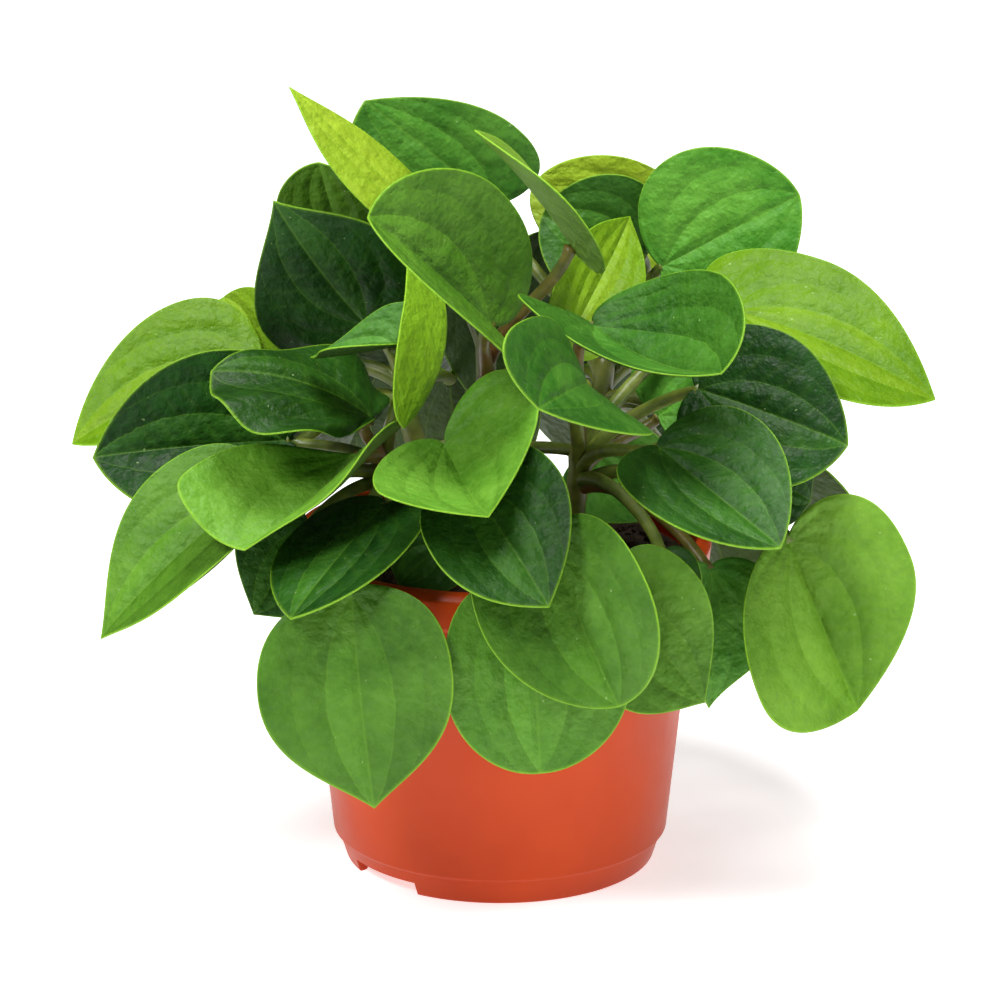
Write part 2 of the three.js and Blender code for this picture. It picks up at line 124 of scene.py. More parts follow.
# Leaf blades. Lengths of the outline and of the veins are parts of the blade's length and width,
# and PILLOW is how high the blade swells between its veins.
BLADE_THICKNESS = 0.9
EDGE_THICKNESS = 0.45
OUTLINE_STEPS = 60
BLADE_RINGS = [*np.linspace(0.04, 0.93, 27), 0.955, 0.975, 0.988, 1.0]
LEAST_ARC = 0.5
PILLOW = 0.65
PILLOW_REACH = 3.6
PILLOW_BELOW = 0.8
SWELL = 0.5
SWELL_SCALE = 0.09
CALM_FROM = 0.72
THIN_FROM = 0.9
MARGIN_FROM = 0.984
SIDE_VEINS = [
    [(0, 0), (0.20, 0.17), (0.58, 0.27), (0.97, 0.02)],
    [(0, 0), (0.04, 0.30), (0.46, 0.47), (0.86, 0.20)],
    [(0, 0), (-0.09, 0.14), (-0.06, 0.38), (0.26, 0.46)],
]
VEIN_STEPS = 60
RIB_SPACING = 9
LEAF_SEED = 11

# Midrib and side veins: strength, half width in mm, and how much darker one side is than the other,
# a painted sheen that lights one side of each vein and shades the other
VEIN_LOOKS = ((1.0, 0.6, 0.09), (0.7, 0.45, 0.10), (0.35, 0.4, 0.04), (0.2, 0.35, 0.0))

# What a leaf is where its row says nothing. The row gives where its blade starts and ends, the way
# its upper face looks and its width, then the angles in degrees by which the halves fold up, cup
# and bend along the midrib, the form of the outline, how far up its stem the stalk starts (0 to 1)
# and how steeply the stalk meets the blade from below.
LEAF = {
    "fold": 10, "cup": 15, "bend": 15, "skew": 0, "lobe": 0.12, "notch": 0.03, "belly": 0.36,
    "point": 0.5, "wave": 0, "waves": 5, "phase": 0, "from": 0.8, "hang": 40,
}
LEAVES = [
    {"name": "front_05", "stem": "left", "at": [-40, -71, 100], "tip": [-34, -80, 42],
     "faces": [-1.8, -9, 2.2], "width": 56, "fold": 2, "cup": 22, "bend": 14, "skew": -0.05, "lobe": 0.02,
     "notch": 0.063, "belly": 0.4, "from": 0.68, "hang": 80},
    {"name": "front_04", "stem": "front", "at": [8, -70, 101], "tip": [11, -77, 51],
     "faces": [1, -9, 2.2], "width": 52, "fold": 8, "cup": 10, "bend": 16, "lobe": 0.1, "belly": 0.44,
     "point": 0, "from": 0.76},
    {"name": "front_03", "stem": "front", "at": [13, -73, 116], "tip": [32, -88, 74],
     "faces": [-2.5, -9, 2.5], "width": 52, "fold": 19, "cup": 13, "bend": 23, "skew": 0.13,
     "belly": 0.39, "point": 0.1, "from": 0.83},
    {"name": "front_02", "stem": "front", "at": [-8, -66, 129], "tip": [13, -97, 105],
     "faces": [0.7, -9, 6.6], "width": 44, "fold": 7, "cup": 20, "bend": 16, "skew": -0.18, "lobe": 0.11,
     "belly": 0.37, "point": 0.4, "from": 0.91},
    {"name": "front_01", "stem": "front", "at": [-15, -55, 137], "tip": [-3, -97, 130],
     "faces": [-1.5, -2, 9], "width": 58, "fold": 19, "bend": -35, "skew": -0.7, "lobe": 0.21,
     "notch": 0.015, "belly": 0.44, "point": 0.6, "from": 0.98},
    {"name": "left_09", "stem": "left", "at": [-32, -43, 116], "tip": [-56, -83, 97],
     "faces": [-7.3, -9, 8.7], "width": 41, "fold": 0, "cup": 7, "bend": 6, "skew": 0.01, "lobe": 0.13,
     "notch": 0.033, "belly": 0.38, "point": 0.3, "from": 0.81, "hang": 50},
    {"name": "left_07", "stem": "left", "at": [-40, -35, 128], "tip": [-69, -66, 111],
     "faces": [-3.2, -3.2, 9], "width": 59, "fold": 21, "cup": 33, "bend": -14, "skew": -0.68,
     "lobe": 0.03, "notch": 0.032, "belly": 0.49, "point": 0.2, "wave": 1, "from": 0.89, "hang": 40},
    {"name": "left_08", "stem": "left", "at": [-66, -33, 118], "tip": [-110, -46, 79],
     "faces": [-5.5, -6.8, 9], "width": 47, "fold": 13, "cup": 22, "bend": 22, "skew": 0.05, "lobe": 0.09,
     "notch": 0.029, "belly": 0.33, "point": 0.6, "from": 0.77},
    {"name": "left_10", "stem": "left", "at": [-53, -33, 107], "tip": [-68, -43, 85],
     "faces": [0, -9, 2.1], "width": 35, "fold": 8, "cup": 14, "skew": 0.16, "notch": 0.029, "from": 0.72,
     "hang": 40},
    {"name": "left_03", "stem": "left", "at": [-36, -24, 136], "tip": [-79, -37, 153],
     "faces": [1.1, -3.4, 9], "width": 52, "fold": 0, "cup": 0, "bend": 45, "skew": 0.7, "lobe": 0.02,
     "notch": 0.033, "belly": 0.31, "point": 0.3, "wave": 2, "waves": 6, "from": 0.9, "hang": 90},
    {"name": "left_04", "stem": "left", "at": [-61, -2, 123], "tip": [-114, -12, 121],
     "faces": [0.2, -9, 5.4], "width": 54, "fold": 19, "cup": 16, "bend": 25, "skew": 0.08, "lobe": 0.13,
     "notch": 0.031, "belly": 0.37, "point": 0.3, "from": 0.85, "hang": 40},
    {"name": "left_05", "stem": "back_left", "at": [-70, 29, 138], "tip": [-122, 15, 117],
     "faces": [-3.3, -6.3, 9], "width": 50, "fold": 14, "cup": 14, "bend": 26, "skew": 0.06, "lobe": 0.06,
     "notch": 0.031, "belly": 0.28, "point": 0.4, "from": 0.85, "hang": 30, "lime": True},
    {"name": "left_06", "stem": "back_left", "at": [-71, 37, 134], "tip": [-80, 47, 152],
     "faces": [-1.8, -9, 4.5], "width": 31, "fold": 17, "cup": 18, "bend": 18, "skew": -0.22,
     "belly": 0.37, "point": 0, "from": 0.88, "hang": 70, "lime": True},
    {"name": "top_03", "stem": "back_left", "at": [-38, 14, 153], "tip": [-63, 0, 192],
     "faces": [-4.4, -9, 2.8], "width": 52, "fold": 3, "cup": 3, "bend": 23, "skew": -0.18,
     "notch": 0.029, "belly": 0.32, "point": 0.7, "from": 0.91},
    {"name": "top_02", "stem": "back_left", "at": [-45, 31, 173], "tip": [-51, 21, 198],
     "faces": [-1.7, -9, 2.1], "width": 31, "fold": 6, "cup": 10, "skew": 0.26, "notch": 0.031,
     "point": 0.1, "from": 0.95},
    {"name": "top_01", "stem": "centre", "at": [-19, -1, 185], "tip": [-58, -4, 225],
     "faces": [5.5, -6, 9], "width": 24, "fold": -6, "cup": 0, "bend": -2, "skew": 0.08, "belly": 0.33,
     "point": 0.6, "from": 0.93, "hang": 40, "lime": True},
    {"name": "top_04", "stem": "centre", "at": [-2, 24, 186], "tip": [-38, 20, 216],
     "faces": [0.2, -9, 2.4], "width": 41, "fold": 1, "cup": 12, "bend": 14, "skew": 0.39, "lobe": 0.07,
     "notch": 0.029, "belly": 0.4, "point": 0.3, "from": 0.83, "hang": 50},
    {"name": "top_05", "stem": "centre", "at": [-3, -42, 168], "tip": [-35, -69, 204],
     "faces": [3.1, -7.4, 9], "width": 60, "fold": 22, "cup": 21, "bend": 7, "skew": -0.13, "lobe": 0.23,
     "notch": 0.031, "belly": 0.33, "point": 0, "from": 0.78, "hang": 40},
    {"name": "top_06", "stem": "centre", "at": [20, -12, 182], "tip": [-7, -22, 217], "faces": [8, 2, 6],
     "width": 46, "fold": 7, "cup": 8, "lobe": 0.2, "from": 0.88, "hang": 50},
    {"name": "top_07", "stem": "back_right", "at": [46, 50, 169], "tip": [9, 47, 184],
     "faces": [1, -9, 3], "width": 37, "point": 0, "from": 0.98, "hang": 70, "lime": True},
    {"name": "top_08", "stem": "back_right", "at": [40, 36, 167], "tip": [12, 36, 179],
     "faces": [1, -9, 3], "width": 40, "point": 0, "from": 0.91, "hang": 34},
    {"name": "top_09", "stem": "back_right", "at": [47, 26, 167], "tip": [85, 28, 187],
     "faces": [-1.3, -9, 2], "width": 53, "fold": 3, "cup": 9, "bend": 11, "skew": 0.13, "lobe": 0.1,
     "notch": 0.029, "belly": 0.32, "point": 0.1, "from": 0.95, "hang": 50},
    {"name": "top_10", "stem": "centre", "at": [19, -6, 154], "tip": [37, 35, 179], "faces": [4, -8, 4],
     "width": 27, "fold": 14, "cup": 10, "from": 0.73, "hang": 40, "lime": True},
    {"name": "top_11", "stem": "right", "at": [66, 4, 159], "tip": [121, -16, 139],
     "faces": [2.6, -5.9, 9], "width": 51, "fold": 7, "cup": 12, "bend": 24, "skew": -0.18, "lobe": 0.24,
     "notch": 0.034, "belly": 0.35, "point": 0.4, "from": 0.95, "hang": 30, "lime": True},
    {"name": "top_12", "stem": "right", "at": [26, -31, 164], "tip": [59, -68, 161],
     "faces": [1.3, -6.2, 9], "width": 59, "fold": 21, "cup": 38, "bend": -45, "skew": 0.64, "lobe": 0.2,
     "notch": 0.023, "belly": 0.28, "point": 0, "from": 0.98},
    {"name": "top_13", "stem": "right", "at": [23, -65, 157], "tip": [10, -106, 162],
     "faces": [9, -4.1, 8.5], "width": 45, "fold": 12, "cup": 13, "bend": 34, "skew": -0.66, "lobe": 0.13,
     "notch": 0.034, "belly": 0.55, "point": 0, "from": 0.91, "hang": 30},
    {"name": "left_01", "stem": "centre", "at": [-16, -16, 169], "tip": [-26, -55, 142],
     "faces": [-9, 1.9, 0.5], "width": 35, "fold": 34, "cup": 3, "bend": -45, "skew": 0.23, "lobe": 0.36,
     "notch": 0.028, "belly": 0.29, "point": 0, "from": 0.98, "hang": 50, "lime": True},
    {"name": "left_02", "stem": "left", "at": [-29, -32, 159], "tip": [-52, -30, 155],
     "faces": [1.9, -2.9, 9], "width": 24, "fold": 32, "cup": 19, "bend": -8, "skew": 0.7, "lobe": 0.21,
     "belly": 0.29, "point": 0.9, "from": 0.98, "hang": 70},
    {"name": "front_06", "stem": "front", "at": [30, -58, 97], "tip": [56, -62, 66], "faces": [1, -9, 3],
     "width": 42, "skew": -0.2, "from": 0.68},
    {"name": "front_07", "stem": "right", "at": [58, -35, 95], "tip": [58, -41, 57], "faces": [5, -8, 2],
     "width": 40, "point": 0.8, "from": 0.68},
    {"name": "front_08", "stem": "right", "at": [44, -48, 104], "tip": [46, -54, 84], "faces": [0, -9, 2],
     "width": 22, "from": 0.75},
    {"name": "right_01", "stem": "right", "at": [80, -38, 104], "tip": [99, -46, 58],
     "faces": [2.2, -9, 2.5], "width": 60, "fold": 24, "cup": 0, "bend": -7, "skew": -0.39, "lobe": 0.14,
     "notch": 0.039, "belly": 0.49, "point": 0.2, "from": 0.71, "hang": 20},
    {"name": "right_02", "stem": "right", "at": [43, -50, 135], "tip": [75, -80, 116],
     "faces": [3.7, -9, 8.6], "width": 49, "cup": 17, "bend": -2, "skew": -0.03, "lobe": 0.08,
     "notch": 0.02, "belly": 0.34, "point": 0.3, "from": 0.85, "hang": 50},
    {"name": "right_03", "stem": "right", "at": [55, -31, 146], "tip": [95, -44, 134],
     "faces": [1, -9, 5.4], "width": 46, "fold": 3, "cup": 6, "bend": 19, "skew": -0.13, "lobe": 0.13,
     "notch": 0.029, "belly": 0.39, "point": 0.2, "from": 0.88},
    {"name": "right_04", "stem": "back_right", "at": [76, -2, 112], "tip": [88, 2, 104],
     "faces": [2, -8, 5], "width": 26, "from": 0.75},
    {"name": "right_05", "stem": "right", "at": [45, 0, 130], "tip": [60, 5, 140], "faces": [-1, -8, 5],
     "width": 34, "from": 0.81},
    {"name": "inner_01", "stem": "centre", "at": [-17, -38, 103], "tip": [-28, -44, 94],
     "faces": [-2, -8, 5], "width": 28, "from": 0.68},
    {"name": "inner_02", "stem": "centre", "at": [28, 14, 114], "tip": [42, 5, 97], "faces": [1, -8, 4],
     "width": 34, "from": 0.4, "hang": 60},
    {"name": "back_01", "stem": "back_left", "at": [-25, 57, 173], "tip": [-49, 87, 159],
     "faces": [-3, 5, 9], "width": 52, "from": 0.98, "hang": 40},
    {"name": "back_02", "stem": "back_right", "at": [29, 66, 157], "tip": [37, 94, 104],
     "faces": [2, 9, 4], "width": 50, "from": 0.88, "hang": 50},
    {"name": "back_03", "stem": "back_right", "at": [5, 45, 167], "tip": [0, 66, 106], "faces": [0, 9, 4],
     "width": 48, "from": 0.85, "hang": 50},
    {"name": "back_04", "stem": "back_left", "at": [-39, 54, 144], "tip": [-80, 80, 116],
     "faces": [-5, 6, 8], "width": 54, "from": 0.81},
    {"name": "back_05", "stem": "back_right", "at": [57, 52, 139], "tip": [93, 69, 113],
     "faces": [5, 6, 8], "width": 53, "from": 0.81},
    {"name": "back_06", "stem": "back_left", "at": [-21, 73, 131], "tip": [-42, 104, 85],
     "faces": [-3, 8, 5], "width": 54, "from": 0.78, "hang": 50},
    {"name": "back_07", "stem": "back_right", "at": [23, 72, 122], "tip": [35, 102, 77],
     "faces": [2, 8, 5], "width": 54, "from": 0.78, "hang": 40},
    {"name": "back_08", "stem": "back_left", "at": [-68, 24, 110], "tip": [-98, 30, 64],
     "faces": [-4, 7, 5], "width": 50, "from": 0.75},
    {"name": "back_09", "stem": "back_right", "at": [72, 34, 110], "tip": [98, 50, 68],
     "faces": [7, 4, 5], "width": 52, "from": 0.71},
    {"name": "back_10", "stem": "back_left", "at": [-15, 68, 122], "tip": [-11, 88, 68],
     "faces": [0, 9, 3], "width": 54, "from": 0.68},
    {"name": "back_11", "stem": "back_left", "at": [-52, 60, 113], "tip": [-68, 81, 65],
     "faces": [-5, 7, 3], "width": 48, "from": 0.71},
    {"name": "back_12", "stem": "back_right", "at": [54, 65, 99], "tip": [70, 82, 51], "faces": [5, 7, 3],
     "width": 48, "from": 0.68},
]

# Of some leaves: how far a dark one goes towards lime, how light its upper face is, partly its own
# green and partly painted shadow where it lies under other leaves, how light its under face is,
# painted shadow inside the plant and painted light where it is lit from below, and the stalks that
# are red
PALE = {
    "front_05": 0.12, "right_01": 0.26, "left_08": 0.18, "front_06": 0.16, "front_03": 0.12,
    "front_04": 0.08, "left_03": 0.05, "top_06": 0.42, "top_05": 0.16, "front_01": 0.14,
    "left_07": 0.16, "top_02": 0.2,
}
# Upper faces: each leaf's own lightness, with painted shadow on leaves that lie under others
SHADE = {
    "front_01": 1.0, "front_02": 0.15, "front_03": 0.5, "front_04": 0.7, "front_05": 0.44,
    "front_06": 0.7, "front_07": 1.0, "front_08": 0.3, "left_01": 1.0, "left_02": 0.6,
    "left_03": 0.0, "left_04": 0.0, "left_05": 0.1, "left_06": 0.3, "left_07": 1.0,
    "left_08": 0.6, "left_09": 0.1, "left_10": 0.2, "top_01": 0.8, "top_02": 0.4, "top_03": 0.0,
    "top_04": 0.65, "top_05": 0.6, "top_06": 1.0, "top_07": 1.0, "top_08": 0.3, "top_09": 1.0,
    "top_10": 0.25, "top_11": 0.1, "top_12": 0.45, "top_13": 0.42, "right_01": 0.85,
    "right_02": 0.2, "right_03": 0.0,
}
# Under faces: painted light on those lit from below, painted shadow on the rest inside the plant
UNDERSIDE_LIGHT = {"top_06": 0.9, "top_13": 0.4, "left_01": 0.5}
LEAST_UNDERSIDE_LIGHT = 0.15
RED_STALKS = ("top_06", "left_03", "front_07", "left_07", "top_12", "top_05", "right_05")


def bezier(control, t):
    """Points of a cubic curve at the values t, one row each."""
    p0, p1, p2, p3 = (np.array(p, float) for p in control)
    t = np.atleast_1d(t)[:, None]
    return (1 - t) ** 3 * p0 + 3 * (1 - t) ** 2 * t * p1 + 3 * (1 - t) * t**2 * p2 + t**3 * p3


def unit(v):
    return v / np.linalg.norm(v)


def smoothstep(low, high, x):
    t = np.clip((x - low) / (high - low), 0, 1)
    return t * t * (3 - 2 * t)


# Meshes


def add_mesh(name, points, faces, attributes=None, smooth=True):
    """A mesh object from points in millimetres, with a number per point for each attribute."""
    mesh = bpy.data.meshes.new(name)
    mesh.from_pydata((np.asarray(points, float) * MM).tolist(), [], faces)
    for key, values in (attributes or {}).items():
        layer = mesh.attributes.new(key, "FLOAT", "POINT")
        layer.data.foreach_set("value", np.asarray(values, np.float32))
    mesh.polygons.foreach_set("use_smooth", [smooth] * len(mesh.polygons))
    mesh.update()
    thing = bpy.data.objects.new(name, mesh)
    bpy.context.scene.collection.objects.link(thing)
    return thing


def finish_piece(thing, node, material):
    """Gives a piece its material, and the node that it replaces."""
    thing.data.materials.clear()
    thing.data.materials.append(material)
    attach(thing, "root")
    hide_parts(node)


def tube(path, radii, sides):
    """Points and faces of a closed tube along a path, with a radius for each of its points."""
    path = np.asarray(path, float)
    tangents = np.gradient(path, axis=0)
    side = unit(np.cross(tangents[0], (0.3, 1.0, 0.2)))
    points = []
    for centre, tangent, radius in zip(path, tangents, radii):
        side = unit(side - tangent * (side @ tangent) / (tangent @ tangent))
        other = unit(np.cross(tangent, side))
        for i in range(sides):
            a = 2 * pi * i / sides
            points.append(centre + radius * (cos(a) * side + sin(a) * other))
    rows = len(path)
    faces = []
    for k in range(rows - 1):
        for i in range(sides):
            j = (i + 1) % sides
            faces.append((k * sides + i, k * sides + j, (k + 1) * sides + j, (k + 1) * sides + i))
    faces.append(tuple(reversed(range(sides))))
    faces.append(tuple(range((rows - 1) * sides, rows * sides)))
    return points, faces


class Parts:
    """Collects tubes and other closed forms that make one piece."""

    def __init__(self):
        self.points, self.faces, self.values = [], [], {}

    def add(self, points, faces, **values):
        start = len(self.points)
        self.points.extend(points)
        self.faces.extend(tuple(i + start for i in face) for face in faces)
        for key, value in values.items():
            self.values.setdefault(key, []).extend(np.broadcast_to(value, len(points)))


# Leaf blades, in the same form as the part's: an arc along the midrib, and two halves that
# fold up from it and curve up further to the edge


def blade_axes(leaf):
    """The blade's start, its three directions (to the tip, across, out of its face) and its length."""
    at, tip = np.array(leaf["at"], float), np.array(leaf["tip"], float)
    chord = np.linalg.norm(tip - at)
    along = (tip - at) / chord
    out = np.array(leaf["faces"], float)
    out = unit(out - along * (out @ along))
    return at, along, np.cross(out, along), out, chord


def blade_points(leaf, u, v, ring, angle):
    """The curved blade's points, from places u along it and v across it in parts of its size."""
    at, along, across, out, chord = blade_axes(leaf)
    bend = radians(leaf["bend"] or LEAST_ARC)
    fold = radians(leaf["fold"])
    cup = radians(leaf["cup"] or LEAST_ARC)
    half = leaf["width"] / 2
    turn = bend * (0.5 - u - leaf["skew"] * v)
    radius = chord / (2 * sin(bend / 2))
    forward = radius * (sin(bend / 2) - np.sin(turn))
    upward = radius * (np.cos(turn) - cos(bend / 2))
    slope = fold + 2 * cup * np.abs(v)
    side = np.sign(v) * half * (np.sin(slope) - sin(fold)) / cup
    ripple = leaf["wave"] * ring**2 * np.sin(leaf["waves"] * angle + leaf["phase"])
    rise = half * (cos(fold) - np.cos(slope)) / cup + ripple
    return (
        at
        + np.outer(forward - rise * np.sin(turn), along)
        + np.outer(upward + rise * np.cos(turn), out)
        + np.outer(side, across)
    )


def blade_outline(leaf):
    """Heart-shaped outline in the flat, once round from the notch at the stalk by way of the tip."""
    lobe, notch, belly, point = (leaf[key] for key in ("lobe", "notch", "belly", "point"))
    base = [(-notch, 0), (-1.25 * lobe, 0.1), (-1.05 * lobe, 0.5), (belly, 0.5)]
    end = [(belly, 0.5), (belly + 0.32, 0.5), (1 - 0.28 * point, 0.23 - 0.12 * point), (1, 0)]
    steps = np.linspace(0, 1, OUTLINE_STEPS // 2 + 1)
    half = np.vstack([bezier(base, steps), bezier(end, steps)[1:]])
    other = half[-2:0:-1] * (1, -1)
    return np.vstack([half, other])


def vein_distances(leaf, u, v):
    """How far each place is from the midrib and from each side vein of its half, in millimetres.
    A distance changes its sign across the vein, so that it stays exact between the points."""
    size = np.array([blade_axes(leaf)[4], leaf["width"]])
    places = np.column_stack([u, np.abs(v)]) * size
    distances = [v * leaf["width"]]
    for control in SIDE_VEINS:
        line = bezier(control, np.linspace(0, 1, VEIN_STEPS)) * size
        away = places[:, None] - line[None]
        nearest = np.linalg.norm(away, axis=2).argmin(axis=1)
        heading = np.gradient(line, axis=0)[nearest]
        heading /= np.linalg.norm(heading, axis=1)[:, None]
        offset = away[np.arange(len(places)), nearest]
        side = np.sign(heading[:, 0] * offset[:, 1] - heading[:, 1] * offset[:, 0])
        distances.append(side * np.linalg.norm(offset, axis=1))
    return distances


def surface_normals(points, faces):
    """One unit normal for each point, from the triangles around it."""
    a, b, c = (points[[face[k] for face in faces]] for k in range(3))
    across_face = np.cross(b - a, c - a)
    normals = np.zeros_like(points)
    for k in range(3):
        np.add.at(normals, [face[k] for face in faces], across_face)
    return normals / np.linalg.norm(normals, axis=1)[:, None]


def blade(leaf):
    """A blade with sunken veins and raised cells between them, and a thin rounded edge."""
    outline = blade_outline(leaf)
    count = len(outline)
    rings = np.array([0.0, *np.repeat(BLADE_RINGS, count)])
    flat = np.vstack([(0, 0), *(outline * ring for ring in BLADE_RINGS)])
    angles = np.array([0.0, *np.tile(2 * pi * np.arange(count) / count, len(BLADE_RINGS))])
    u, v = flat.T
    middle = blade_points(leaf, u, v, rings, angles)
    triangles = [(0, 1 + (i + 1) % count, 1 + i) for i in range(count)]
    quads = []
    for k in range(len(BLADE_RINGS) - 1):
        inner, outer = 1 + k * count, 1 + (k + 1) * count
        for i in range(count):
            j = (i + 1) % count
            quads.append((inner + i, inner + j, outer + j, outer + i))
    halves = [(q[0], q[1], q[2]) for q in quads] + [(q[0], q[2], q[3]) for q in quads]
    normals = surface_normals(middle, triangles + halves)

    veins = vein_distances(leaf, u, v)
    between = 1 - np.exp(-np.min(np.abs(veins), axis=0) / PILLOW_REACH)
    calm = 1 - smoothstep(CALM_FROM, 1, rings)
    swell = np.array([noise.noise(Vector(p) * SWELL_SCALE) for p in middle])
    relief = (PILLOW * between + SWELL * swell * between) * calm
    thickness = BLADE_THICKNESS - (BLADE_THICKNESS - EDGE_THICKNESS) * smoothstep(THIN_FROM, 1, rings)
    upper = middle + normals * (relief + thickness / 2)[:, None]
    lower = middle + normals * (PILLOW_BELOW * relief - thickness / 2)[:, None]
    under = len(middle)
    edge = under - count
    faces = triangles + quads + [tuple(i + under for i in reversed(f)) for f in triangles + quads]
    for i in range(count):
        a, b = edge + i, edge + (i + 1) % count
        faces.append((a, b, b + under, a + under))
    margin = smoothstep(MARGIN_FROM, 1, rings)
    tone = 1.0 if leaf.get("lime") else PALE.get(leaf["name"], 0.0)
    attributes = {
        **{f"vein_{k}": np.tile(distance, 2) for k, distance in enumerate(veins)},
        "margin": np.tile(margin, 2),
        "underside": np.repeat([0.0, 1.0], under),
        "tone": np.full(2 * under, tone),
        "shade": np.full(2 * under, SHADE.get(leaf["name"], noise.random())),
        "underside_light": np.full(2 * under, UNDERSIDE_LIGHT.get(leaf["name"], LEAST_UNDERSIDE_LIGHT)),
        "rib": np.tile(leaf["width"] * (1.5 * u - np.abs(v)) / RIB_SPACING, 2),
        "inside": np.tile(calm, 2),
    }
    return add_mesh(f"fine_{leaf['name']}", np.vstack([upper, lower]), faces, attributes)


# Stems and stalks


def lean_path(stem):
    """Control points of the stem's curve above the soil."""
    x, y = stem["foot"]
    knee = np.array([x, y, SOIL_TOP + SOIL_DOME], float)
    end = np.array(stem["top"], float)
    rise = end[2] - knee[2]
    return [knee, knee + (0, 0, STRAIGHT_START * rise), end - (0, 0, STRAIGHT_END * rise), end]


def stalk_path(leaf, stem):
    """The curve of a leaf stalk, from its stem up to the under face of its blade."""
    at, along, across, out, _ = blade_axes(leaf)
    tilt = radians(leaf["bend"] / 2)
    normal = out * cos(tilt) - along * sin(tilt)
    onward = np.cross(across, normal)
    hang = radians(leaf["hang"])
    back = -onward * cos(hang) - normal * sin(hang)
    lean = lean_path(stem)
    before, start, after = bezier(lean, [leaf["from"] - 0.001, leaf["from"], leaf["from"] + 0.001])
    end = at - normal * BLADE_THICKNESS / 2
    reach = np.linalg.norm(end - start)
    parting = unit(unit(end - start) + unit(after - before))
    control = [start, start + parting * STRAIGHT_START * reach, end + back * STRAIGHT_END * reach, end]
    return bezier(control, np.linspace(0, 1, STALK_STEPS))


def stem_piece(name, stem, leaves):
    """A stem from its foot in the soil, with the stalks of its leaves, as one piece."""
    parts = Parts()
    bottom = SOIL_TOP - STEM_DEPTH + FIT_GAP
    x, y = stem["foot"]
    low = [(x, y, z) for z in np.linspace(bottom, SOIL_TOP + SOIL_DOME - 1, 5)]
    path = np.vstack([low, bezier(lean_path(stem), np.linspace(0, 1, STEM_STEPS))])
    beyond, narrowing = np.transpose(STEM_CAP)
    path = np.vstack([path, path[-1] + np.outer(beyond, unit(path[-1] - path[-2]))])
    height = np.linspace(0, 1, len(path))
    radii = STEM_RADIUS * (1 - STEM_TAPER * height + KNOT_HEIGHT * np.sin(height * KNOT_RATE) ** 8)
    radii[-len(narrowing):] *= narrowing
    points, faces = tube(path, radii, STEM_SIDES)
    parts.add(points, faces, along=np.repeat(height * 0.5, STEM_SIDES), red=STEM_REDNESS)
    for leaf in leaves:
        path = stalk_path(leaf, stem)
        t = np.linspace(0, 1, len(path))
        radii = STALK_RADIUS * (1.22 - 0.55 * t + 0.25 * t**2)
        radii += STALK_FLARE * smoothstep(FLARE_FROM, 1, t)
        points, faces = tube(path, radii, STALK_SIDES)
        red = STALK_REDNESS["red" if leaf["name"] in RED_STALKS else "plain"]
        parts.add(points, faces, along=np.repeat(0.4 + 0.6 * t, STALK_SIDES), red=red)
    return add_mesh(f"fine_stem_{name}", parts.points, parts.faces, parts.values)


# Soil and pot


def dome_height(out):
    """Height of the soil's top, without its crumbs, from its middle (0) to its edge (1)."""
    return SOIL_TOP + SOIL_DOME * (1 - out**DOME_POWER)


def soil_piece():
    """Crumbly soil: a rough top over a smooth body, with loose crumbs half sunk in it."""
    parts = Parts()
    points = [(0.0, 0.0, SOIL_TOP + SOIL_DOME - 0.4)]
    for k in range(1, SOIL_RINGS + 1):
        r = SOIL_RADIUS * k / SOIL_RINGS
        for i in range(SOIL_SIDES):
            a = 2 * pi * i / SOIL_SIDES
            x, y = r * cos(a), r * sin(a)
            rough = noise.fractal(Vector((x, y, 3.0)) * CLOD_SCALE, 0.7, 2.2, 5)
            z = dome_height(k / SOIL_RINGS) + SOIL_ROUGHNESS * rough - SOIL_SINK
            points.append((x, y, z))
    ring = [len(points) - SOIL_SIDES + i for i in range(SOIL_SIDES)]
    faces = [(0, 1 + i, 1 + (i + 1) % SOIL_SIDES) for i in range(SOIL_SIDES)]
    for k in range(SOIL_RINGS - 1):
        inner, outer = 1 + k * SOIL_SIDES, 1 + (k + 1) * SOIL_SIDES
        for i in range(SOIL_SIDES):
            j = (i + 1) % SOIL_SIDES
            faces.append((inner + i, outer + i, outer + j, inner + j))
    for radius, z in SOIL_LOWER_RINGS:
        start = len(points)
        for i in range(SOIL_SIDES):
            a = 2 * pi * i / SOIL_SIDES
            points.append((radius * cos(a), radius * sin(a), z))
        for i in range(SOIL_SIDES):
            j = (i + 1) % SOIL_SIDES
            faces.append((ring[i], start + i, start + j, ring[j]))
        ring = [start + i for i in range(SOIL_SIDES)]
    faces.append(tuple(reversed(ring)))
    parts.add(points, faces)

    chance = np.random.default_rng(CRUMB_SEED)
    ball = bmesh.new()
    bmesh.ops.create_icosphere(ball, subdivisions=1, radius=1)
    corners = np.array([v.co for v in ball.verts])
    triangles = [tuple(v.index for v in f.verts) for f in ball.faces]
    ball.free()
    for _ in range(CRUMBS):
        r, a = (SOIL_RADIUS - 3) * chance.random() ** 0.5, 2 * pi * chance.random()
        size = chance.uniform(*CRUMB_SIZE)
        shape = corners * chance.uniform(*CRUMB_STRETCH, corners.shape) * size
        z = dome_height(r / SOIL_RADIUS) - CRUMB_SINK
        parts.add(shape + (r * cos(a), r * sin(a), z), triangles)
    return add_mesh("fine_soil", parts.points, parts.faces, smooth=False)


def filleted(profile, radius, steps=4):
    """The profile with each inner corner rounded by a small curve."""
    points = [np.array(p, float) for p in profile]
    rounded = [points[0]]
    for before, corner, after in zip(points, points[1:], points[2:]):
        to_before, to_after = before - corner, after - corner
        shorter = min(np.linalg.norm(to_before), np.linalg.norm(to_after))
        reach = min(radius, MOST_OF_SIDE * shorter)
        a, b = corner + unit(to_before) * reach, corner + unit(to_after) * reach
        for t in np.linspace(0, 1, steps):
            rounded.append((1 - t) ** 2 * a + 2 * t * (1 - t) * corner + t**2 * b)
    return [*rounded, points[-1]]


